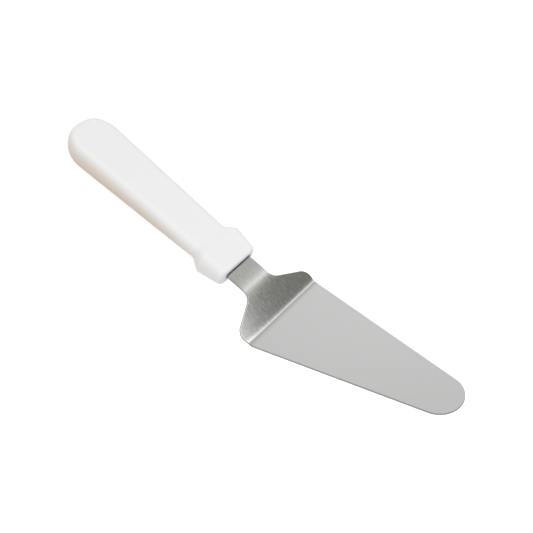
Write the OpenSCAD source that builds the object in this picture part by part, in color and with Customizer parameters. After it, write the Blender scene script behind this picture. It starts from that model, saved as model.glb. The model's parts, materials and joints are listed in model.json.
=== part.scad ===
// Cake server: a cranked stainless steel blade stamped from one sheet, with a moulded white handle on its tang.
// Lengths are in millimetres and angles in degrees. The server lies as it rests on a table, on its heel and on
// the underside of the handle's collar, with +X towards the raised tip and the origin under its middle.

/* [Blade] */
// Length of the flat blade, from the heel crease to the tip
blade_length = 115.5; // [95:0.5:140]
// Width of the blade at its heel
blade_width = 60.3; // [50:0.1:72]
// Radius of the rounded tip
tip_radius = 13.8; // [8:0.1:18]
// Thickness of the steel sheet
sheet = 1; // [0.8:0.1:1.5]

/* [Riser and neck] */
// Length of the riser along its slope, from crease to crease
riser_length = 22.9; // [22:0.1:30]
// Slope of the riser above the blade
riser_slope = 37.5; // [30:0.5:45]
// Radius of the round shoulders beside the heel
shoulder_radius = 7.1; // [6:0.1:8.5]
// Distance from the heel bend back to the widest point of the shoulders
shoulder_setback = 2.6; // [1:0.1:3.5]
// Radius of the hollow curves from the riser into the neck
neck_fillet = 7.1; // [5:0.1:8]
// Distance that the hollow curves run past the upper crease
fillet_run = 0.7; // [0:0.05:0.75]
// Inside radius of the bend at the heel
heel_bend = 5; // [1:0.1:8]
// Inside radius of the bend between riser and neck
neck_bend = 25; // [4:0.5:30]
// Slope of the neck and the handle above the blade
neck_slope = 22; // [16:0.1:27]
// Width of the neck
neck_width = 20.4; // [16:0.1:22]
// Length of neck that shows, from the upper crease to the handle
neck_length = 13.7; // [8:0.1:20]

/* [Tang] */
// Length of the tang inside the handle
tang_length = 98; // [80:1:105]
// Length over which the tang keeps the neck's width, inside the collar
tang_shoulder = 14; // [8:0.5:20]
// Length of the slanted step from the wide to the narrow tang
tang_step = 4; // [2:0.5:8]
// Width of the narrow tang
tang_width = 13; // [10:0.5:15]
// Radius of the holes that key the tang into the handle
key_radius = 3; // [2:0.1:4]
// Number of keying holes
key_count = 2; // [1:1:2]
// Distance from the handle's front to the first keying hole
key_start = 40; // [30:1:45]
// Distance between the keying holes
key_pitch = 36; // [20:1:40]
// Clearance between the tang and the plastic round it
tang_clearance = 0.05; // [0:0.01:0.2]

/* [Handle] */
// Length of the handle
handle_length = 128; // [115:0.1:150]
// Height of the sheet's middle above the handle's middle
handle_drop = 0.6; // [0:0.1:1]
// Width of the collar at its front
front_width = 30.1; // [28.5:0.1:32]
// Thickness of the collar at its front
front_thickness = 13; // [11:0.1:15]
// Distance from the front to the collar's crest
crest_place = 16; // [10:0.1:17]
// Width of the collar at its crest
crest_width = 34.5; // [30:0.1:38]
// Thickness of the collar at its crest
crest_thickness = 17; // [13:0.1:18]
// Distance from the front to the root, where the flare meets the grip
root_place = 22.3; // [20:0.1:26]
// Width of the grip at its root
root_width = 26.4; // [23:0.1:29]
// Thickness of the grip at its root
root_thickness = 11.7; // [10:0.1:13]
// Width of the grip where the round end begins
butt_width = 31.9; // [27:0.1:36]
// Thickness of the grip where the round end begins
butt_thickness = 16.4; // [12:0.1:18]
// Length of the round end, seen from above
butt_round = 18; // [12:0.1:24]
// Length of the round end, seen from the side
butt_edge = 7.7; // [4:0.1:10]
// Reach of the rounded sides, from the flat faces to the widest line
side_round = 5; // [3:0.1:8]
// Fullness of the rounded sides: 2 is an ellipse, more is squarer
side_power = 2.3; // [2:0.1:4]
// Radius of the collar's front edge, along the top and the bottom
front_edge = 1.2; // [0.5:0.1:2]
// Radius of the collar's front corners, seen from above
front_corner = 2.6; // [1:0.1:3]
// Half length of the soft corner along the crest
crest_blend = 0.6; // [0.2:0.1:2]
// Half length of the soft corner along the root
root_blend = 1.2; // [0.4:0.1:3]

/* [Mouth] */
// Depth of the mouth round the neck, in the handle's front
mouth_depth = 5; // [3:0.5:8]
// Height that the mouth leaves above and below the sheet
mouth_height = 2.2; // [1:0.1:3]
// Room that the mouth leaves beside the neck
mouth_side = 0.4; // [0.2:0.1:1]

/* [Hidden] */

// Overrun of every cut past the face that it opens
overrun = 1;
// Steps of each round stretch of the stamped outline, and of each bend
arc_steps = 20;
bend_steps = 10;
// Steps of one rounded side of the handle, of its round end, its straight grip and its front edge
side_steps = 14;
butt_steps = 16;
grip_steps = 8;
edge_steps = 6;
// Places of the rings through a soft corner, as shares of its half length
blend_shares = [-1, -0.5, 0, 0.5, 1];
// Share of a step that is left out where a round stretch meets the middle line, so that a flat closes it
closing_share = 0.5;

function reversed(v) = [for (i = [len(v) - 1:-1:0]) v[i]];

// Points round a centre; the first step is cut by its share where the stretch starts on the middle line
function arc(centre, radius, from, to, start_share = 0) =
    [for (i = [0:arc_steps])
        let (a = from + (to - from) * (i + start_share) / (arc_steps + start_share))
        centre + radius * [cos(a), sin(a)]];

// Distance from each crease to the ends of its bend, along the top face
heel_reach = heel_bend * tan(riser_slope / 2);
neck_turn = riser_slope - neck_slope;
neck_reach = (neck_bend + sheet) * tan(neck_turn / 2);

// Blade outline, tip first: the tip's circle runs into the straight edges to the heel
tip_centre = [blade_length - tip_radius, 0];
heel_corner = [heel_reach, blade_width / 2];
from_tip = heel_corner - tip_centre;
tip_tangent = atan2(from_tip[1], from_tip[0]) - acos(tip_radius / norm(from_tip));
blade_half = arc(tip_centre, tip_radius, 0, tip_tangent, closing_share);

// The heel bend keeps the blade's full width
heel_half = [for (i = [0:bend_steps]) [heel_reach - 2 * heel_reach * i / bend_steps, blade_width / 2]];

// Riser outline: a round shoulder, then a slanted edge that touches it and the hollow curve
shoulder_rise = sqrt(pow(shoulder_radius, 2) - pow(shoulder_setback, 2));
shoulder_centre = [-heel_reach - shoulder_setback, blade_width / 2 - shoulder_rise];
fillet_centre = [-riser_length - fillet_run, neck_width / 2 + neck_fillet];
to_fillet = fillet_centre - shoulder_centre;
slant = 180 + atan(to_fillet[1] / to_fillet[0]) - acos((shoulder_radius + neck_fillet) / norm(to_fillet));
bend_meets = -acos((fillet_run + neck_reach) / neck_fillet);
riser_half = concat(
    reversed(arc(shoulder_centre, shoulder_radius, slant, acos(shoulder_setback / shoulder_radius), closing_share)),
    arc(fillet_centre, neck_fillet, slant - 180, bend_meets));

// The neck bend, where the hollow curve ends and the neck's straight edges begin
function neck_half_width(s) =
    let (past = max(0, s - fillet_centre[0]))
    fillet_centre[1] - sqrt(pow(neck_fillet, 2) - past * past);
neck_half = [for (i = [1:bend_steps])
    let (s = -riser_length + neck_reach - 2 * neck_reach * i / bend_steps) [s, neck_half_width(s)]];

// The tang from its wide shoulder to its round end, grown by a margin, x from the upper crease
function tang_half(margin) =
    let (step = -neck_length - tang_shoulder - margin,
         end_radius = tang_width / 2,
         end_centre = [-neck_length - tang_length + end_radius, 0])
    concat([[step, neck_width / 2 + margin], [step - tang_step, end_radius + margin]],
           reversed(arc(end_centre, end_radius + margin, 180, 90, closing_share)));

// The whole flat pattern, as half widths along the sheet: s is 0 at the heel crease and grows to the tip
pattern = concat(blade_half, heel_half, riser_half, neck_half,
                 [for (p = tang_half(0)) p - [riser_length, 0]]);

// Straight stretch that turns by a soft corner: 0 before it, the distance past it after
function ramp(x, half) = x <= -half ? 0 : x >= half ? x : pow(x + half, 2) / (4 * half);

// Half of a size along the handle: front, crest, root and round end, u from the front
function half_size(u, front, crest, root, butt) =
    let (butt_place = handle_length - butt_round,
         to_crest = (crest - front) / crest_place,
         to_root = (root - crest) / (root_place - crest_place),
         to_butt = (butt - root) / (butt_place - root_place),
         x = min(u, butt_place))
    (front + to_crest * x
     + (to_root - to_crest) * ramp(x - crest_place, crest_blend)
     + (to_butt - to_root) * ramp(x - root_place, root_blend)) / 2;

// Inset of a rounded front edge of one radius, and the closing of a round end over its length
function edge_inset(u, radius) =
    u >= radius ? 0 : radius - sqrt(pow(radius, 2) - pow(radius - u, 2));
function closing(u, length) =
    let (t = max(0, (u - handle_length + length) / length)) sqrt(1 - t * t);

function half_width(u) =
    half_size(u, front_width, crest_width, root_width, butt_width) * closing(u, butt_round)
    - edge_inset(u, front_corner);
function half_thickness(u) =
    half_size(u, front_thickness, crest_thickness, root_thickness, butt_thickness) * closing(u, butt_edge)
    - edge_inset(u, front_edge);

// Places of the handle's rings, from the front to the flat that closes the round end
edge_run = max(front_edge, front_corner);
rings = concat(
    [for (i = [0:edge_steps]) edge_run * (1 - cos(90 * i / edge_steps))],
    [for (share = blend_shares) crest_place + share * crest_blend],
    [for (share = blend_shares) root_place + share * root_blend],
    [for (i = [1:grip_steps]) root_place + root_blend
        + (handle_length - butt_round - root_place - root_blend) * i / grip_steps],
    [for (i = [1:butt_steps])
        handle_length - butt_round * (1 - sin(90 * i / (butt_steps + closing_share)))]);

// Side view in the blade's own frame: centres of the bends, the upper crease and the neck's directions
upper_crease = riser_length * [-cos(riser_slope), sin(riser_slope)];
along_neck = [cos(neck_slope), -sin(neck_slope)];
above_neck = [sin(neck_slope), cos(neck_slope)];
heel_centre = [heel_reach, heel_bend];
heel_outside = heel_bend + sheet;
neck_outside = neck_bend + sheet;
neck_centre = upper_crease - neck_reach * along_neck - neck_outside * above_neck;

// Slope of the sheet at s, and the point of its top face there
function slope_at(s) =
    s > -heel_reach ? riser_slope * max(0, heel_reach - s) / (2 * heel_reach)
    : riser_slope - neck_turn * min(1, max(0, neck_reach - riser_length - s) / (2 * neck_reach));
function top_at(s) =
    let (a = slope_at(s), up = [sin(a), cos(a)])
    s > heel_reach ? [s, 0]
    : s > -heel_reach ? heel_centre - heel_bend * up
    : s > neck_reach - riser_length ? -s * [-cos(a), sin(a)]
    : s > -neck_reach - riser_length ? neck_centre + neck_outside * up
    : upper_crease + (s + riser_length) * along_neck;

// The handle's upper line, side = 1, or its lower line, side = -1, in the same view
handle_middle = -sheet / 2 - handle_drop;
function handle_line(side) =
    [for (u = rings)
        upper_crease - (neck_length + u) * along_neck + (handle_middle + side * half_thickness(u)) * above_neck];

// Slope of the line that touches the heel bend's underside and a point behind it
function slope_to(p) =
    let (d = p - heel_centre) atan2(d[1], -d[0]) + asin(heel_outside / norm(d));

// The pose at rest: tilt of the blade, height of its lowest point and ends of the whole server
rest_tilt = min([for (p = handle_line(-1)) slope_to(p)]);
function rest_x(p) = p[0] * cos(rest_tilt) - p[1] * sin(rest_tilt);
rest_height = heel_centre[0] * sin(rest_tilt) + heel_centre[1] * cos(rest_tilt) - heel_outside;
tip_end = rest_x([blade_length, -sheet]);
butt_end = min([for (side = [-1, 1]) for (p = handle_line(side)) rest_x(p)]);

// A rounded step from 0 to 1 in one direction of the side's curve
function curved(x) = sign(x) * pow(abs(x), 2 / side_power);

// One ring of the handle: a flat top and bottom joined by rounded sides
function handle_ring(u) =
    let (w = half_width(u),
         h = half_thickness(u),
         reach = min(side_round, w),
         right = [for (i = [0:side_steps]) let (a = 180 * i / side_steps - 90)
                     [-u, w - reach + reach * curved(cos(a)), h * curved(sin(a))]])
    concat(right, [for (p = reversed(right)) [p[0], -p[1], p[2]]]);

// One ring of the sheet: across the underside and back across the top face
function sheet_ring(p) =
    let (top = top_at(p[0]), a = slope_at(p[0]), under = top - sheet * [sin(a), cos(a)])
    [[under[0], p[1], under[1]], [top[0], p[1], top[1]], [top[0], -p[1], top[1]], [under[0], -p[1], under[1]]];

// A closed skin over rings that follow each other towards -X
module loft(all_rings) {
    count = len(all_rings);
    size = len(all_rings[0]);
    sides = [for (i = [0:count - 2]) for (j = [0:size - 1])
        let (k = (j + 1) % size, here = i * size, next = here + size)
        each [[here + j, here + k, next + j], [here + k, next + k, next + j]]];
    front = [for (j = [size - 1:-1:0]) j];
    end = [for (j = [0:size - 1]) (count - 1) * size + j];
    polyhedron([for (ring = all_rings) each ring], concat([front], sides, [end]));
}

// Frames: the blade's own frame at rest, and those of the neck and the handle in it
module at_rest() {
    translate([-(tip_end + butt_end) / 2, 0, -rest_height])
        rotate([0, -rest_tilt, 0]) children();
}
module neck_frame() {
    translate([upper_crease[0], 0, upper_crease[1]]) rotate([0, neck_slope, 0]) children();
}
module handle_frame() {
    neck_frame() translate([-neck_length, 0, handle_middle]) children();
}

// Holes through the tang, or with a margin the plastic that fills them
module keys(margin = 0) {
    for (i = [0:key_count - 1])
        translate([-neck_length - key_start - i * key_pitch, 0, -sheet - overrun])
            cylinder(r = key_radius - margin, h = sheet + 2 * overrun, $fn = 48);
}

// The room that the tang takes in the handle
module tang_room() {
    half = concat([[overrun - neck_length, neck_width / 2 + tang_clearance]], tang_half(tang_clearance));
    neck_frame() difference() {
        translate([0, 0, -sheet - tang_clearance])
            linear_extrude(sheet + 2 * tang_clearance)
                polygon(concat(half, [for (p = reversed(half)) [p[0], -p[1]]]));
        keys(tang_clearance);
    }
}

// The wider mouth round the neck
module mouth() {
    width = neck_width + 2 * mouth_side;
    height = sheet + 2 * mouth_height;
    neck_frame() translate([-neck_length - mouth_depth, -width / 2, -sheet - mouth_height])
        cube([mouth_depth + overrun, width, height]);
}

module blade() {
    color("silver") at_rest() difference() {
        loft([for (p = pattern) sheet_ring(p)]);
        neck_frame() keys();
    }
}

module handle() {
    color("whitesmoke") at_rest() difference() {
        handle_frame() loft([for (u = rings) handle_ring(u)]);
        tang_room();
        mouth();
    }
}

blade();
handle();
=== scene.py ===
# Cake server: a satin steel blade with a cranked neck, and a moulded white handle with a collar.
# Shapes are worked out in millimetres in the blade's own frame: x runs from the heel crease to the tip
# and z is up from the serving face. They are then laid in the model's frame, in metres.
import json

import bmesh
import bpy
import numpy as np
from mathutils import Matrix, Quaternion, Vector


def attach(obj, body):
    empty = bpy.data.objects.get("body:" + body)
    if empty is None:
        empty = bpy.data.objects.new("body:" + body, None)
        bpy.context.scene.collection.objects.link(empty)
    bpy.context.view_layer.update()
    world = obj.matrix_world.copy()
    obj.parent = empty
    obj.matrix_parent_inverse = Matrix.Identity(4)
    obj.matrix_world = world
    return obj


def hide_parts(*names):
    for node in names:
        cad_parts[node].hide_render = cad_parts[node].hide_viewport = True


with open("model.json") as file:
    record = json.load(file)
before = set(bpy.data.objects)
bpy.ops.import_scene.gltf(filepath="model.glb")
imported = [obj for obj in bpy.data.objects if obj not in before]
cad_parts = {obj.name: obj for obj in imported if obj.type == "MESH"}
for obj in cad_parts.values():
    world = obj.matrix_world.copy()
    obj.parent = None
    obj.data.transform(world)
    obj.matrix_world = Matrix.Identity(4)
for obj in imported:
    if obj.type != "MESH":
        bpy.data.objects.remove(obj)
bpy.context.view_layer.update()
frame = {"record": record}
print("frame loaded")

millimetre = 0.001


def sine(degrees):
    return np.sin(np.radians(degrees))


def cosine(degrees):
    return np.cos(np.radians(degrees))


def arcPoints(centre, radius, start, stop, steps):
    # Points on a circle: centre + radius * (cosine, sine) of evenly spaced angles
    angles = np.linspace(start, stop, steps + 1)
    return np.array(centre) + radius * np.column_stack([cosine(angles), sine(angles)])


# The blade, from the tip to the heel, then up the riser to the neck. The record's first mount lies on
# its serving face, mountPlace ahead of the heel crease. The sheared metal shows between the cut angles,
# in a darker colour that is partly its dull metal and partly painted shade along the edge.
blade = {
    "length": 115.5, "width": 60.3, "tipRadius": 13.8, "sheet": 1.0, "mountPlace": 50.0,
    "heelBend": 5.0, "riserLength": 22.9, "riserSlope": 37.5,
    "shoulderRadius": 7.1, "shoulderSetback": 2.6, "filletRadius": 7.1, "filletRun": 0.7,
    "neckSlope": 22.0, "neckWidth": 20.4, "neckLength": 13.7,
    "heelSoftness": (8.0, 6.0), "neckSoftness": (13.0, 4.0),  # half length of each bend, its sharpness
    "edgeRadius": 0.2, "supportInset": 0.5, "cutAngles": (-60, 80),
    "patternUnit": 100.0,  # millimetres to one unit of the pattern's map
    "tipSteps": 40, "shoulderSteps": 32, "filletSteps": 28, "edgeSteps": 4, "acrossSteps": 12,
    "longestStep": 3.0, "shortestStep": 0.02,
    "heelSpan": 6.0, "heelSteps": 41, "neckSpan": (-12, -34), "neckSteps": 34,  # extra rings at the bends
    "pathStep": 0.02, "pathSpare": 1.0,
}

# The tang, which the handle hides
tang = {
    "length": 98.0, "shoulder": 14.0, "step": 4.0, "width": 13.0, "clearance": 0.05, "endSteps": 16,
    "holeRadius": 3.0, "holeStart": 40.0, "holePitch": 36.0, "holes": 2,
    "holeSides": 32, "holeTurn": 5.0, "drillFrom": -1.0, "drillTo": 2.0,
}

handleStart = blade["riserLength"] + blade["neckLength"]  # along the sheet, behind the heel crease


def bladeOutline():
    # Half the flat pattern from the tip to the tang's end, as (distance along the sheet, half width).
    # Straight edges run between circles that they touch, where the radius is square to the edge: that
    # angle is the direction to the next point or circle, less the arc cosine of radius over distance.
    heel = blade["heelBend"] * np.tan(np.radians(blade["riserSlope"] / 2))
    halfWidth, halfNeck = blade["width"] / 2, blade["neckWidth"] / 2
    tipCentre = np.array([blade["length"] - blade["tipRadius"], 0])
    fromTip = np.array([heel, halfWidth]) - tipCentre
    away = np.degrees(np.arctan2(fromTip[1], fromTip[0]))
    touch = away - np.degrees(np.arccos(blade["tipRadius"] / np.hypot(*fromTip)))
    tip = arcPoints(tipCentre, blade["tipRadius"], 0, touch, blade["tipSteps"])

    rise = np.sqrt(blade["shoulderRadius"] ** 2 - blade["shoulderSetback"] ** 2)
    shoulderCentre = np.array([-heel - blade["shoulderSetback"], halfWidth - rise])
    filletCentre = np.array([-blade["riserLength"] - blade["filletRun"], halfNeck + blade["filletRadius"]])
    across = filletCentre - shoulderCentre
    bothRadii = blade["shoulderRadius"] + blade["filletRadius"]
    slant = 180 + np.degrees(np.arctan(across[1] / across[0]) - np.arccos(bothRadii / np.hypot(*across)))
    widest = np.degrees(np.arccos(blade["shoulderSetback"] / blade["shoulderRadius"]))
    shoulder = arcPoints(shoulderCentre, blade["shoulderRadius"], widest, slant, blade["shoulderSteps"])
    fillet = arcPoints(filletCentre, blade["filletRadius"], slant - 180, -90, blade["filletSteps"])

    narrow = tang["width"] / 2
    stepPlace = -handleStart - tang["shoulder"]
    step = [[stepPlace, halfNeck], [stepPlace - tang["step"], narrow]]
    end = arcPoints([-handleStart - tang["length"] + narrow, 0], narrow, 90, 180, tang["endSteps"])
    return np.vstack([tip, [[heel, halfWidth]], [[-heel, halfWidth]], shoulder[1:], fillet, step, end])


def finerLine(points, longest):
    # The same line with its long stretches cut into even steps no longer than longest: each new point
    # is its stretch's start plus a share of that stretch
    spans = np.diff(points, axis=0)
    steps = np.maximum(1, np.ceil(np.hypot(*spans.T) / longest)).astype(int)
    stretch = np.repeat(np.arange(len(spans)), steps)
    stepsBefore = np.cumsum(steps) - steps
    share = (np.arange(len(stretch)) - stepsBefore[stretch]) / steps[stretch]
    return np.vstack([points[stretch] + spans[stretch] * share[:, None], points[-1:]])


def outwardNormals(points):
    # Outward direction at each point: its neighbours' chord turned by a quarter; straight out at the ends
    chord = np.gradient(points, axis=0)
    normals = np.column_stack([-chord[:, 1], chord[:, 0]])
    normals *= -1 / np.hypot(*normals.T)[:, None]
    normals[0] = [1, 0]
    normals[-1] = [-1, 0]
    return normals


def turned(along, place, reach, power):
    # Share of a soft bend that is done at each point: 0 ahead of it, 1 behind it, quickest at its middle.
    # Each half is a half more or less, times 1 - (1 - distance from the middle / reach) ** power.
    side = np.clip((place - along) / reach, -1, 1)
    return 0.5 + 0.5 * np.sign(side) * (1 - (1 - np.abs(side)) ** power)


def onNeckLine(along, across, depth):
    # Places points on the straight line of the neck, tang and handle: the riser's end, plus the distance
    # from it along the neck's slope, less depth square to that slope
    slope, length = blade["neckSlope"], blade["riserLength"]
    riser = length * np.array([-cosine(blade["riserSlope"]), sine(blade["riserSlope"])])
    x = riser[0] + (along + length) * cosine(slope) - depth * sine(slope)
    z = riser[1] - (along + length) * sine(slope) - depth * cosine(slope)
    return np.stack([x, across + 0 * x, z], axis=-1)


def sheetPath():
    # Side view of the sheet's top face: its slope is the sum of both soft bends, and the path adds up
    # small steps along that slope. What is left over at the neck is spread out over the riser.
    step, spare = blade["pathStep"], blade["pathSpare"]
    along = np.arange(blade["length"] + spare, -handleStart - spare, -step)
    slope = blade["riserSlope"] * turned(along, 0, *blade["heelSoftness"])
    turn = blade["riserSlope"] - blade["neckSlope"]
    slope = slope - turn * turned(along, -blade["riserLength"], *blade["neckSoftness"])
    x = along[0] - np.cumsum(cosine(slope)) * step
    z = np.cumsum(sine(slope)) * step
    end = onNeckLine(along[-1:], np.zeros(1), 0)[0]
    share = np.clip(-along / blade["riserLength"], 0, 1)
    share = share * share * (3 - 2 * share)
    return along, x + (end[0] - x[-1]) * share, z + (end[2] - z[-1]) * share, slope


def foldSheet(along, across, depth):
    # Bends the flat pattern along the path: a point goes depth below the path's point, square to its slope
    places, pathX, pathZ, pathSlope = (values[::-1] for values in sheetPath())
    slope = np.interp(along, places, pathSlope)
    x = np.interp(along, places, pathX) - depth * sine(slope)
    z = np.interp(along, places, pathZ) - depth * cosine(slope)
    bent = np.stack([x, across + 0 * x, z], axis=-1)
    straight = onNeckLine(along, across, depth)
    return np.where((along < places[0])[..., None], straight, bent)


def sheetRings():
    # One ring round the sheet at each point of the outline: a rounded edge, the top face, the other
    # rounded edge and the underside. A point is set in along the outline's own normal, at an edge by
    # radius * (1 - cosine), and lies radius * sine above or below the rounding's centre.
    line = finerLine(bladeOutline(), blade["longestStep"])
    atHeel = blade["heelSpan"] * np.linspace(-1, 1, blade["heelSteps"]) ** 3
    bends = np.concatenate([atHeel, np.linspace(*blade["neckSpan"], blade["neckSteps"])])
    widths = np.interp(-bends, -line[:, 0], line[:, 1])
    line = np.vstack([line, np.column_stack([bends, widths])])
    line = line[np.lexsort((line[:, 1], -line[:, 0]))]
    longEnough = np.hypot(*np.diff(line, axis=0).T) > blade["shortestStep"]
    line = line[np.concatenate([[True], longEnough])]
    normals = outwardNormals(line)

    radius, sheet = blade["edgeRadius"], blade["sheet"]
    angles = np.linspace(-90, 90, 2 * blade["edgeSteps"] + 1)
    inset = radius * (1 - cosine(angles))
    depth = np.where(angles < 0, sheet - radius, radius) - radius * sine(angles)
    inset = np.concatenate([[blade["supportInset"]], inset, [blade["supportInset"]]])
    depth = np.concatenate([[sheet], depth, [0]])
    # Between the cut angles lies the sheared edge, which the material darkens: partly dull metal, partly
    # painted shade
    lowest, highest = blade["cutAngles"]
    cut = np.concatenate([[0], (angles > lowest) & (angles < highest), [0]])
    shares = np.linspace(1, -1, blade["acrossSteps"] + 1)[1:-1]

    along = np.minimum.accumulate(line[:, :1] - normals[:, :1] * inset)
    width = np.maximum(line[:, 1:] - normals[:, 1:] * inset, 0)
    spanAlong = np.repeat(along[:, -1:], len(shares), axis=1)
    allAlong = np.hstack([along, spanAlong, along[:, ::-1], spanAlong])
    allAcross = np.hstack([width, width[:, -1:] * shares, -width[:, ::-1], -width[:, -1:] * shares])
    spanDepth = np.zeros(len(shares))
    allDepth = np.concatenate([depth, spanDepth, depth[::-1], spanDepth + sheet])
    allDepth = np.repeat(allDepth[None], len(line), axis=0)
    cut = np.concatenate([cut, spanDepth, cut[::-1], spanDepth])
    cut = np.repeat(cut[None], len(line), axis=0)
    flatPattern = np.stack([allAlong, allAcross], axis=-1) / blade["patternUnit"]
    return foldSheet(allAlong, allAcross, allDepth), {"pattern": flatPattern, "cut": cut}


def layInPlace(points):
    # Turns the blade's frame by its tilt at rest and moves it, from the first mount's place and direction
    mount = frame["record"]["mounts"][0]
    tiltSine, tiltCosine = -mount["axis"][0], mount["axis"][2]
    turn = np.array([[tiltCosine, 0, -tiltSine], [0, 1, 0], [tiltSine, 0, tiltCosine]])
    return (points - [blade["mountPlace"], 0, 0]) * millimetre @ turn.T + mount["pos_m"]


def tidyMesh(mesh):
    # Merges the points that meet at each end, drops edges without length and smooths the shading
    work = bmesh.new()
    work.from_mesh(mesh)
    bmesh.ops.remove_doubles(work, verts=work.verts, dist=millimetre / 1000)
    bmesh.ops.dissolve_degenerate(work, edges=work.edges, dist=millimetre / 10000)
    work.to_mesh(mesh)
    work.free()
    mesh.shade_smooth()


def closedGrid(name, rings, values):
    # Rings of the same count become quads that join each ring to the next; doubled end points are merged.
    # values holds what the material reads: a map where a point has two numbers, else an attribute.
    count, size = rings.shape[:2]
    first = np.arange(count - 1)[:, None] * size
    here = np.arange(size)[None]
    after = (here + 1) % size
    corners = [first + here, first + after, first + size + after, first + size + here]
    faces = np.stack(corners, axis=-1).reshape(-1, 4)
    mesh = bpy.data.meshes.new(name)
    mesh.from_pydata(layInPlace(rings.reshape(-1, 3)), [], faces.tolist())
    for label, data in values.items():
        if data.shape[-1] == 2:
            layer = mesh.uv_layers.new(name=label)
            layer.data.foreach_set("uv", data.reshape(-1, 2)[faces.ravel()].ravel().astype(np.float32))
        else:
            layer = mesh.attributes.new(label, "FLOAT", "POINT")
            layer.data.foreach_set("value", data.ravel().astype(np.float32))
    obj = bpy.data.objects.new(name, mesh)
    bpy.context.scene.collection.objects.link(obj)
    tidyMesh(mesh)
    return obj


def tangHoles(sheetObject):
    # Drills the keying holes through the tang with round cutters: centre + radius * (cosine, sine), with a
    # pole at each end. A cutter is turned a little, so that none of its edges lies along the sheet's own.
    turn = np.linspace(0, 360, tang["holeSides"], endpoint=False) + tang["holeTurn"]
    start, stop = tang["drillFrom"], tang["drillTo"]
    depths = np.array([start, start, stop, stop])[:, None]
    radii = np.array([0, 1, 1, 0])[:, None] * tang["holeRadius"]
    for i in range(tang["holes"]):
        place = handleStart + tang["holeStart"] + i * tang["holePitch"]
        rings = onNeckLine(-place + radii * cosine(turn), radii * -sine(turn), depths + 0 * turn)
        cutter = closedGrid("cutter", rings, {})
        drill = sheetObject.modifiers.new("drill", "BOOLEAN")
        drill.operation = "DIFFERENCE"
        drill.solver = "EXACT"
        drill.object = cutter
        bpy.context.view_layer.update()
        shown = sheetObject.evaluated_get(bpy.context.evaluated_depsgraph_get())
        drilled = bpy.data.meshes.new_from_object(shown)
        sheetObject.modifiers.clear()
        sheetObject.data = drilled
        bpy.data.objects.remove(cutter)
        tidyMesh(drilled)


# The handle, from its front to its round end: its sizes at four places, then the mouth round the neck
handle = {
    "length": 128.0, "drop": 0.6, "sideRound": 5.0, "sidePower": 2.3, "frontEdge": 1.2, "frontCorner": 2.6,
    "width": {"front": 30.1, "crest": 34.5, "root": 26.4, "butt": 31.9},
    "thickness": {"front": 13.0, "crest": 17.0, "root": 11.7, "butt": 16.4},
    "crestPlace": 16.0, "rootPlace": 22.3, "crestBlend": 0.6, "rootBlend": 1.2,
    "buttRound": 18.0, "buttEdge": 7.7,
    "mouthHeight": 2.2, "mouthSide": 0.4, "mouthCorner": 0.8, "mouthRim": 0.25,
    "wallDepths": (1.0, 2.0, 3.5, 5.0), "slotCorner": 0.02, "slotEnd": 0.3,
    "cornerSteps": 15, "frontSteps": 8, "crestSteps": 9, "flareSteps": 6, "rootSteps": 11,
    "gripSteps": 34, "buttSteps": 41, "rimSteps": 5, "faceSteps": 6, "sideSteps": 28, "flatSteps": 10,
}


def softStep(x, half):
    # A straight stretch that begins at x = 0, with a parabola over that half length on either side
    return np.where(x <= -half, 0, np.where(x >= half, x, (x + half) ** 2 / (4 * half)))


def halfSize(places, sizes):
    # Half a size along the handle: straight stretches between front, crest, root and butt, softly joined
    buttPlace = handle["length"] - handle["buttRound"]
    toCrest = (sizes["crest"] - sizes["front"]) / handle["crestPlace"]
    toRoot = (sizes["root"] - sizes["crest"]) / (handle["rootPlace"] - handle["crestPlace"])
    toButt = (sizes["butt"] - sizes["root"]) / (buttPlace - handle["rootPlace"])
    x = np.minimum(places, buttPlace)
    crest = softStep(x - handle["crestPlace"], handle["crestBlend"])
    root = softStep(x - handle["rootPlace"], handle["rootBlend"])
    return (sizes["front"] + toCrest * x + (toRoot - toCrest) * crest + (toButt - toRoot) * root) / 2


def closing(places, length):
    # Quarter ellipse that closes the round end over that length
    share = np.clip((places - handle["length"] + length) / length, 0, 1)
    return np.sqrt(1 - share ** 2)


def edgeInset(places, radius):
    # How far a quarter circle at the front draws the outline in: radius less the circle's half chord
    past = np.maximum(radius - places, 0)
    return radius - np.sqrt(radius ** 2 - past ** 2)


def handlePlaces():
    # Where the rings lie along the outside: close together at the front edge, crest, root and round end
    crest, crestBlend = handle["crestPlace"], handle["crestBlend"]
    root, rootBlend = handle["rootPlace"], handle["rootBlend"]
    corner, butt = handle["frontCorner"], handle["length"] - handle["buttRound"]
    return np.concatenate([
        corner * (1 - cosine(np.linspace(0, 90, handle["cornerSteps"]))),
        np.linspace(corner, crest - crestBlend, handle["frontSteps"])[1:-1],
        crest + crestBlend * np.linspace(-1, 1, handle["crestSteps"]),
        np.linspace(crest + crestBlend, root - rootBlend, handle["flareSteps"])[1:-1],
        root + rootBlend * np.linspace(-1, 1, handle["rootSteps"]),
        np.linspace(root + rootBlend, butt, handle["gripSteps"])[1:],
        butt + handle["buttRound"] * sine(np.linspace(0, 90, handle["buttSteps"])[1:])])


def rowsOf(*columns):
    # One row to a ring: its place, half width, half height, side reach, lift, and its share of painted
    # shade (1 inside the mouth and slot, else 0)
    return np.column_stack(np.broadcast_arrays(*columns))


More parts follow.
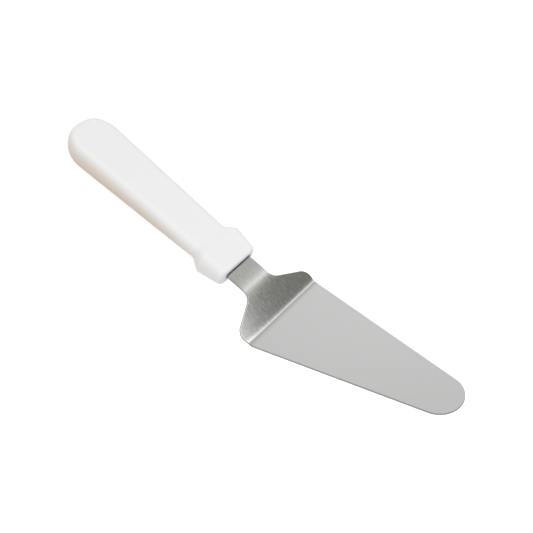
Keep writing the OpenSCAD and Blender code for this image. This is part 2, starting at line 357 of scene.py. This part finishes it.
def handleRings():
    # Rings from the pole at the round end along the outside to the front, over the front face into the
    # mouth, and down to the bottom of the tang's slot, in the order that turns the faces outwards
    outside = handlePlaces()
    width = halfSize(outside, handle["width"]) * closing(outside, handle["buttRound"])
    height = halfSize(outside, handle["thickness"]) * closing(outside, handle["buttEdge"])
    width = width - edgeInset(outside, handle["frontCorner"])
    height = height - edgeInset(outside, handle["frontEdge"])
    outer = rowsOf(outside, width, height, np.minimum(handle["sideRound"], width), 0, 0)

    # The mouth's rim is a quarter circle: rim * (1 - sine) deep, rim * (1 - cosine) wider than the wall
    rim, mouthCorner, drop = handle["mouthRim"], handle["mouthCorner"], handle["drop"]
    mouthWidth = blade["neckWidth"] / 2 + handle["mouthSide"]
    mouthHeight = blade["sheet"] / 2 + handle["mouthHeight"]
    around = np.linspace(90, 0, handle["rimSteps"])
    deeper, opened = rim * (1 - sine(around)), rim * (1 - cosine(around))
    mouth = rowsOf(deeper, mouthWidth + opened, mouthHeight + opened, mouthCorner, drop, 0)
    face = outer[0] + (mouth[0] - outer[0]) * np.linspace(0, 1, handle["faceSteps"])[1:-1, None]
    # The mouth's walls carry a 1 in their last column: they are painted near black as shade
    walls = rowsOf(handle["wallDepths"], mouthWidth, mouthHeight, mouthCorner, drop, 1)

    # Behind the mouth the slot keeps a clearance round the tang and ends in a pole
    room = tang["clearance"]
    shoulderEnd, tangEnd = tang["shoulder"] + room, tang["length"] + room
    wide, narrow = blade["neckWidth"] / 2 + room, tang["width"] / 2 + room
    slotPlaces = [handle["wallDepths"][-1], shoulderEnd, shoulderEnd + tang["step"],
                  tang["length"] - tang["width"] / 2, tangEnd, tangEnd]
    slotWidths = [wide, wide, narrow, narrow, narrow * handle["slotEnd"], 0]
    slotHeights = [blade["sheet"] / 2 + room] * 5 + [0]
    slotCorners = [handle["slotCorner"]] * 5 + [0]
    # The slot's walls carry a 1 in their last column too: painted shade, near black
    slot = rowsOf(slotPlaces, slotWidths, slotHeights, slotCorners, drop, 1)
    return ringPoints(np.vstack([outer[::-1], face, mouth, walls, slot]))


def ringPoints(rows):
    # Each ring is a flat top and bottom joined by superellipse sides: across = half width - reach
    # + reach * cosine ** (2 / power), and height = half height * sine ** (2 / power)
    place, width, height, reach, lift, gap = rows.T[:, :, None]
    angles = np.linspace(-90, 90, handle["sideSteps"] + 1)
    power = 2 / handle["sidePower"]
    across = width - reach + reach * np.abs(cosine(angles)) ** power
    rise = height * np.sign(angles) * np.abs(sine(angles)) ** power
    shares = np.linspace(1, -1, handle["flatSteps"] + 1)[1:-1]
    flatAcross = (width - reach) * shares
    across = np.hstack([across, flatAcross, -across[:, ::-1], -flatAcross])
    flatRise = np.repeat(height, len(shares), axis=1)
    rise = np.hstack([rise, flatRise, rise[:, ::-1], -flatRise]) + lift
    back = np.repeat(place, across.shape[1], axis=1) + handleStart
    middle = blade["sheet"] / 2 + handle["drop"]
    points = onNeckLine(-back, across, middle - rise)
    # The last column becomes the painted shade attribute that the material reads
    return points, {"gap": np.repeat(gap, across.shape[1], axis=1)}


class Wire:
    # One output of a node; sums on it add Math nodes, and add() makes any other node
    def __init__(self, tree, socket=None):
        self.tree = tree
        self.socket = socket

    def add(self, kind, settings=None, inputs=None, output=0):
        node = self.tree.nodes.new(kind)
        for name, value in (settings or {}).items():
            if name == "stops":
                ramp = node.color_ramp.elements
                while len(ramp) < len(value):
                    ramp.new(0.5)
                for element, (place, colour) in zip(ramp, value):
                    element.position = place
                    element.color = colour
            else:
                setattr(node, name, value)
        for name, value in (inputs or {}).items():
            if isinstance(value, Wire):
                self.tree.links.new(value.socket, node.inputs[name])
            else:
                node.inputs[name].default_value = value
        return Wire(self.tree, node.outputs[output]) if node.outputs else node

    def math(self, operation, *terms):
        return self.add("ShaderNodeMath", {"operation": operation}, dict(enumerate(terms)))

    def __add__(self, other):
        return self.math("ADD", self, other)

    def __sub__(self, other):
        return self.math("SUBTRACT", self, other)

    def __rsub__(self, other):
        return self.math("SUBTRACT", other, self)

    def __mul__(self, other):
        return self.math("MULTIPLY", self, other)

    __radd__ = __add__
    __rmul__ = __mul__

    def clamped(self, low, high):
        # 0 below low, 1 above high, and smooth between
        return self.add("ShaderNodeMapRange", {"interpolation_type": "SMOOTHSTEP"},
                        {"Value": self, "From Min": low, "From Max": high})

    def noise(self, scale, detail, roughness=0.5):
        # Noise over this wire's coordinates
        return self.add("ShaderNodeTexNoise", {}, {
            "Vector": self, "Scale": scale, "Detail": detail, "Roughness": roughness})

    def bump(self, depth):
        # A normal from this wire's height, in metres from black to white
        return self.add("ShaderNodeBump", {}, {"Height": self, "Strength": 1.0, "Distance": depth})


def blankTree(owner):
    owner.use_nodes = True
    owner.node_tree.nodes.clear()
    return Wire(owner.node_tree)


def blendColours(wire, factor, first, second):
    # A colour that goes from first to second with factor; a Mix node's colours are its sockets 6 and 7
    return wire.add("ShaderNodeMix", {"data_type": "RGBA"}, {0: factor, 6: first, 7: second}, 2)


def grey(level):
    return (level, level, level, 1)


# Satin steel: fine grain along the sheet, strong on the riser, weaker on the neck and gone on the flat
# blade, patches of a warmer tone in it, and a dull sheared edge, painted darker: partly its dull metal,
# partly painted shade along the edge. Places along it are in pattern units.
steel = {
    "colour": (0.73, 0.73, 0.725, 1), "roughness": 0.2,
    "darkGrain": (0.645, 0.645, 0.63, 1), "paleGrain": (0.745, 0.745, 0.74, 1),
    "grainStretch": (7.2, 24.0, 1.0), "grainScale": 4.0, "grainDetail": 3.0, "grainBreakup": 0.6,
    "grainContrast": (0.35, 0.65), "grainDepth": 0.000002, "grainRoughness": 0.055,
    "grainEnds": (-0.02, 0.005), "neckFrom": (-0.25, -0.2), "neckGrain": 0.6,
    "tint": (0.715, 0.705, 0.65, 1), "tintScale": 12.0, "tintDetail": 2.0, "tintContrast": (0.45, 0.7),
    # The sheared edge's darker colour: partly its dull metal, partly painted shade along the edge
    "cutAndShadeColour": (0.26, 0.26, 0.255, 1), "cutRoughness": 0.5,
}


def steelMaterial():
    material = bpy.data.materials.new("blade_steel")
    wire = blankTree(material)
    pattern = wire.add("ShaderNodeUVMap", {"uv_map": "pattern"})
    cut = wire.add("ShaderNodeAttribute", {"attribute_name": "cut"}, {}, "Fac")
    stretched = wire.add("ShaderNodeMapping", {}, {"Vector": pattern, "Scale": steel["grainStretch"]})
    fine = stretched.noise(steel["grainScale"], steel["grainDetail"], steel["grainBreakup"])
    cloud = pattern.noise(steel["tintScale"], steel["tintDetail"])
    along = wire.add("ShaderNodeSeparateXYZ", {}, {0: pattern}, "X")
    kept = 1 - along.clamped(*steel["grainEnds"])
    kept = kept * (steel["neckGrain"] + (1 - steel["neckGrain"]) * along.clamped(*steel["neckFrom"]))
    streaks = fine.clamped(*steel["grainContrast"])
    colour = blendColours(wire, streaks, steel["darkGrain"], steel["paleGrain"])
    colour = blendColours(wire, kept, steel["colour"], colour)
    colour = blendColours(wire, cloud.clamped(*steel["tintContrast"]) * kept, colour, steel["tint"])
    # The sheared edge is darkened: partly its dull metal, partly painted shade along the edge
    colour = blendColours(wire, cut, colour, steel["cutAndShadeColour"])
    satin = steel["roughness"] + (fine - 0.5) * steel["grainRoughness"]
    rough = satin * (1 - cut) + steel["cutRoughness"] * cut
    shader = wire.add("ShaderNodeBsdfPrincipled", {}, {
        "Base Color": colour, "Metallic": 1.0, "Roughness": rough,
        "Normal": fine.bump(steel["grainDepth"])})
    wire.add("ShaderNodeOutputMaterial", {}, {"Surface": shader})
    return material


# Moulded white plastic: a soft sheen, a fine texture, and painted shade, near black, on the walls inside
# the mouth round the neck and in the tang's slot
plastic = {
    # paintedShadeColour is painted shade, near black, for the mouth's walls and the slot
    "colour": (0.86, 0.86, 0.865, 1), "paintedShadeColour": (0.045, 0.045, 0.045, 1), "shine": 0.25,
    "roughness": 0.42, "patchScale": 60.0, "patchDetail": 3.0, "patchRoughness": 0.06,
    "textureScale": 2500.0, "textureDetail": 2.0, "textureDepth": 0.000004,
}


def plasticMaterial():
    material = bpy.data.materials.new("handle_plastic")
    wire = blankTree(material)
    place = wire.add("ShaderNodeTexCoord", {}, {}, "Object")
    gap = wire.add("ShaderNodeAttribute", {"attribute_name": "gap"}, {}, "Fac")
    texture = place.noise(plastic["textureScale"], plastic["textureDetail"])
    patches = place.noise(plastic["patchScale"], plastic["patchDetail"])
    # Base colour goes near black where the painted shade attribute is 1: painted shade inside the mouth
    # and slot
    shader = wire.add("ShaderNodeBsdfPrincipled", {}, {
        "Base Color": blendColours(wire, gap, plastic["colour"], plastic["paintedShadeColour"]),
        "Roughness": plastic["roughness"] + (patches - 0.5) * plastic["patchRoughness"],
        "Normal": texture.bump(plastic["textureDepth"]), "Specular IOR Level": plastic["shine"]})
    wire.add("ShaderNodeOutputMaterial", {}, {"Surface": shader})
    return material


rings, values = sheetRings()
bladePiece = closedGrid("served_blade", rings, values)
tangHoles(bladePiece)
bladePiece.data.materials.clear()
bladePiece.data.materials.append(steelMaterial())
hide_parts("blade")
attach(bladePiece, "root")
print("blade made:", len(bladePiece.data.polygons), "faces")

rings, values = handleRings()
handlePiece = closedGrid("moulded_handle", rings, values)
handlePiece.data.materials.append(plasticMaterial())
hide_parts("handle")
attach(handlePiece, "root")
print("handle made:", len(handlePiece.data.polygons), "faces")

# A pale table under the server: plain white to the eye and to mirrors. To soft light it is warm near the
# handle, less so towards the front, and a pale grey under the blade. Places are in metres.
table = {
    "size": 6.0, "shown": 0.8, "paint": (0.5, 0.5, 0.5, 1),
    "warm": (0.45, 0.21, 0.0, 1), "lessWarm": (0.37, 0.345, 0.28, 1), "warmFrom": (-0.10, -0.03),
    "pale": (0.72, 0.72, 0.70, 1), "paleFrom": (-0.055, -0.02),
}


def makeTable():
    side = table["size"] / 2
    corners = [(-side, -side, 0), (side, -side, 0), (side, side, 0), (-side, side, 0)]
    mesh = bpy.data.meshes.new("table")
    mesh.from_pydata(corners, [], [(0, 1, 2, 3)])
    obj = bpy.data.objects.new("table", mesh)
    bpy.context.scene.collection.objects.link(obj)
    material = bpy.data.materials.new("table_paint")
    wire = blankTree(material)
    rays = "ShaderNodeLightPath"
    seen = wire.add(rays, {}, {}, "Is Camera Ray") + wire.add(rays, {}, {}, "Is Glossy Ray")
    seen = wire.math("MINIMUM", seen + wire.add(rays, {}, {}, "Is Transmission Ray"), 1.0)
    glow = wire.add("ShaderNodeEmission", {}, {"Color": grey(1.0), "Strength": table["shown"]})
    paint = wire.add("ShaderNodeBsdfDiffuse", {}, {"Color": table["paint"]})
    shown = wire.add("ShaderNodeAddShader", {}, {0: glow, 1: paint})
    place = wire.add("ShaderNodeTexCoord", {}, {}, "Object")
    x, y = (wire.add("ShaderNodeSeparateXYZ", {}, {0: place}, axis) for axis in "XY")
    tone = blendColours(wire, y.clamped(*table["warmFrom"]), table["lessWarm"], table["warm"])
    tone = blendColours(wire, x.clamped(*table["paleFrom"]), tone, table["pale"])
    bounce = wire.add("ShaderNodeBsdfDiffuse", {}, {"Color": tone})
    both = wire.add("ShaderNodeMixShader", {}, {0: seen, 1: bounce, 2: shown})
    wire.add("ShaderNodeOutputMaterial", {}, {"Surface": both})
    obj.data.materials.append(material)


makeTable()

# The room: even soft light in front and low down all round. High up behind, the level changes with the
# lean in degrees, from the left over the top to the right, and grows away from the camera. Each stop is a
# lean, a level and its share of blue. A ramp holds no colour above 1, so it holds levels over headroom.
room = {
    "front": 0.92, "low": 0.9, "growth": 1.0, "growthCentre": 0.55, "headroom": 2.0,
    "backFrom": (-0.15, 0.25), "highFrom": (0.2, 0.38),
    "behind": [(-180, 0.70, 1.0), (-60, 0.78, 1.0), (-47, 0.79, 1.0), (-40, 0.68, 1.0), (-30, 0.64, 1.0),
               (-20, 0.54, 0.95), (-12, 0.43, 0.94), (-5, 0.75, 0.98), (3, 1.2, 1.01), (9, 0.76, 0.99),
               (15, 0.35, 0.93), (22, 0.16, 0.91), (32, 0.17, 0.91), (55, 0.45, 0.97), (180, 0.50, 1.0)],
}


def makeRoom():
    world = bpy.data.worlds.new("room")
    bpy.context.scene.world = world
    wire = blankTree(world)
    direction = wire.add("ShaderNodeTexCoord", {}, {}, "Generated")
    x, y, z = (wire.add("ShaderNodeSeparateXYZ", {}, {0: direction}, axis) for axis in "XYZ")
    lean = wire.math("ARCTAN2", x, z) * (0.5 / np.pi) + 0.5
    stops = []
    for degrees, level, blue in room["behind"]:
        held = level / room["headroom"]
        stops.append((degrees / 360 + 0.5, (held, held, held * blue, 1)))
    behind = wire.add("ShaderNodeValToRGB", {"stops": stops}, {"Fac": lean})
    back = y.clamped(*room["backFrom"])
    high = z.clamped(*room["highFrom"])
    growing = 1 + (y - room["growthCentre"]) * room["growth"]
    rest = room["front"] * (1 - back) + room["low"] * back * (1 - high)
    glow = "ShaderNodeBackground"
    upper = wire.add(glow, {}, {"Color": behind, "Strength": room["headroom"] * back * high * growing})
    lower = wire.add(glow, {}, {"Color": grey(1.0), "Strength": rest})
    light = wire.add("ShaderNodeAddShader", {}, {0: upper, 1: lower})
    white = wire.add(glow, {}, {"Color": grey(1.0), "Strength": 1.0})
    seen = wire.add("ShaderNodeLightPath", {}, {}, "Is Camera Ray")
    shader = wire.add("ShaderNodeMixShader", {}, {0: seen, 1: light, 2: white})
    wire.add("ShaderNodeOutputWorld", {}, {"Surface": shader})


makeRoom()

# Two soft lamps that face straight down: a large one high up, which the steel doesn't mirror, and a
# small, slightly cool one that the near side of the riser mirrors. Places and sizes are in metres.
lamps = {
    "softbox": {"place": (0.0, 0.0, 1.2), "size": (0.9, 0.9), "level": 1.5, "tone": (1.0, 1.0, 1.0),
                "mirrored": False},
    "strip": {"place": (0.102, 0.067, 0.25), "size": (0.08, 0.114), "level": 1.85,
              "tone": (0.95, 0.96, 1.0), "mirrored": True},
}


def addLamp(name, settings):
    # The lamp's power follows from the level it shows: level * area * pi
    lamp = bpy.data.lights.new(name, "AREA")
    lamp.shape = "RECTANGLE"
    lamp.size, lamp.size_y = settings["size"]
    lamp.color = settings["tone"]
    lamp.energy = settings["level"] * lamp.size * lamp.size_y * np.pi
    obj = bpy.data.objects.new(name, lamp)
    bpy.context.scene.collection.objects.link(obj)
    obj.location = settings["place"]
    obj.visible_camera = False
    obj.visible_glossy = settings["mirrored"]


for name, settings in lamps.items():
    addLamp(name, settings)
print("table, room and lamps made")

# The view: place and target in millimetres, roll in degrees, focal length in pixels of the picture
view = {
    "place": (153.22, -346.71, 532.23), "target": (6.002, 4.052, 20.0), "roll": 20.099,
    "focalPixels": 1152.64, "pictureWidth": 533, "sensorWidth": 36, "nearest": 10,
}


def makeCamera():
    camera = bpy.data.cameras.new("camera")
    camera.sensor_width = view["sensorWidth"]
    camera.lens = view["sensorWidth"] * view["focalPixels"] / view["pictureWidth"]
    camera.clip_start = view["nearest"] * millimetre
    obj = bpy.data.objects.new("camera", camera)
    bpy.context.scene.collection.objects.link(obj)
    place, target = Vector(view["place"]) * millimetre, Vector(view["target"]) * millimetre
    facing = (target - place).to_track_quat("-Z", "Y")
    turn = Quaternion((0, 0, 1), np.radians(view["roll"]))
    obj.location = place
    obj.rotation_mode = "QUATERNION"
    obj.rotation_quaternion = facing @ turn
    bpy.context.scene.camera = obj


makeCamera()
bpy.context.scene.view_settings.view_transform = "Standard"
print("camera placed")
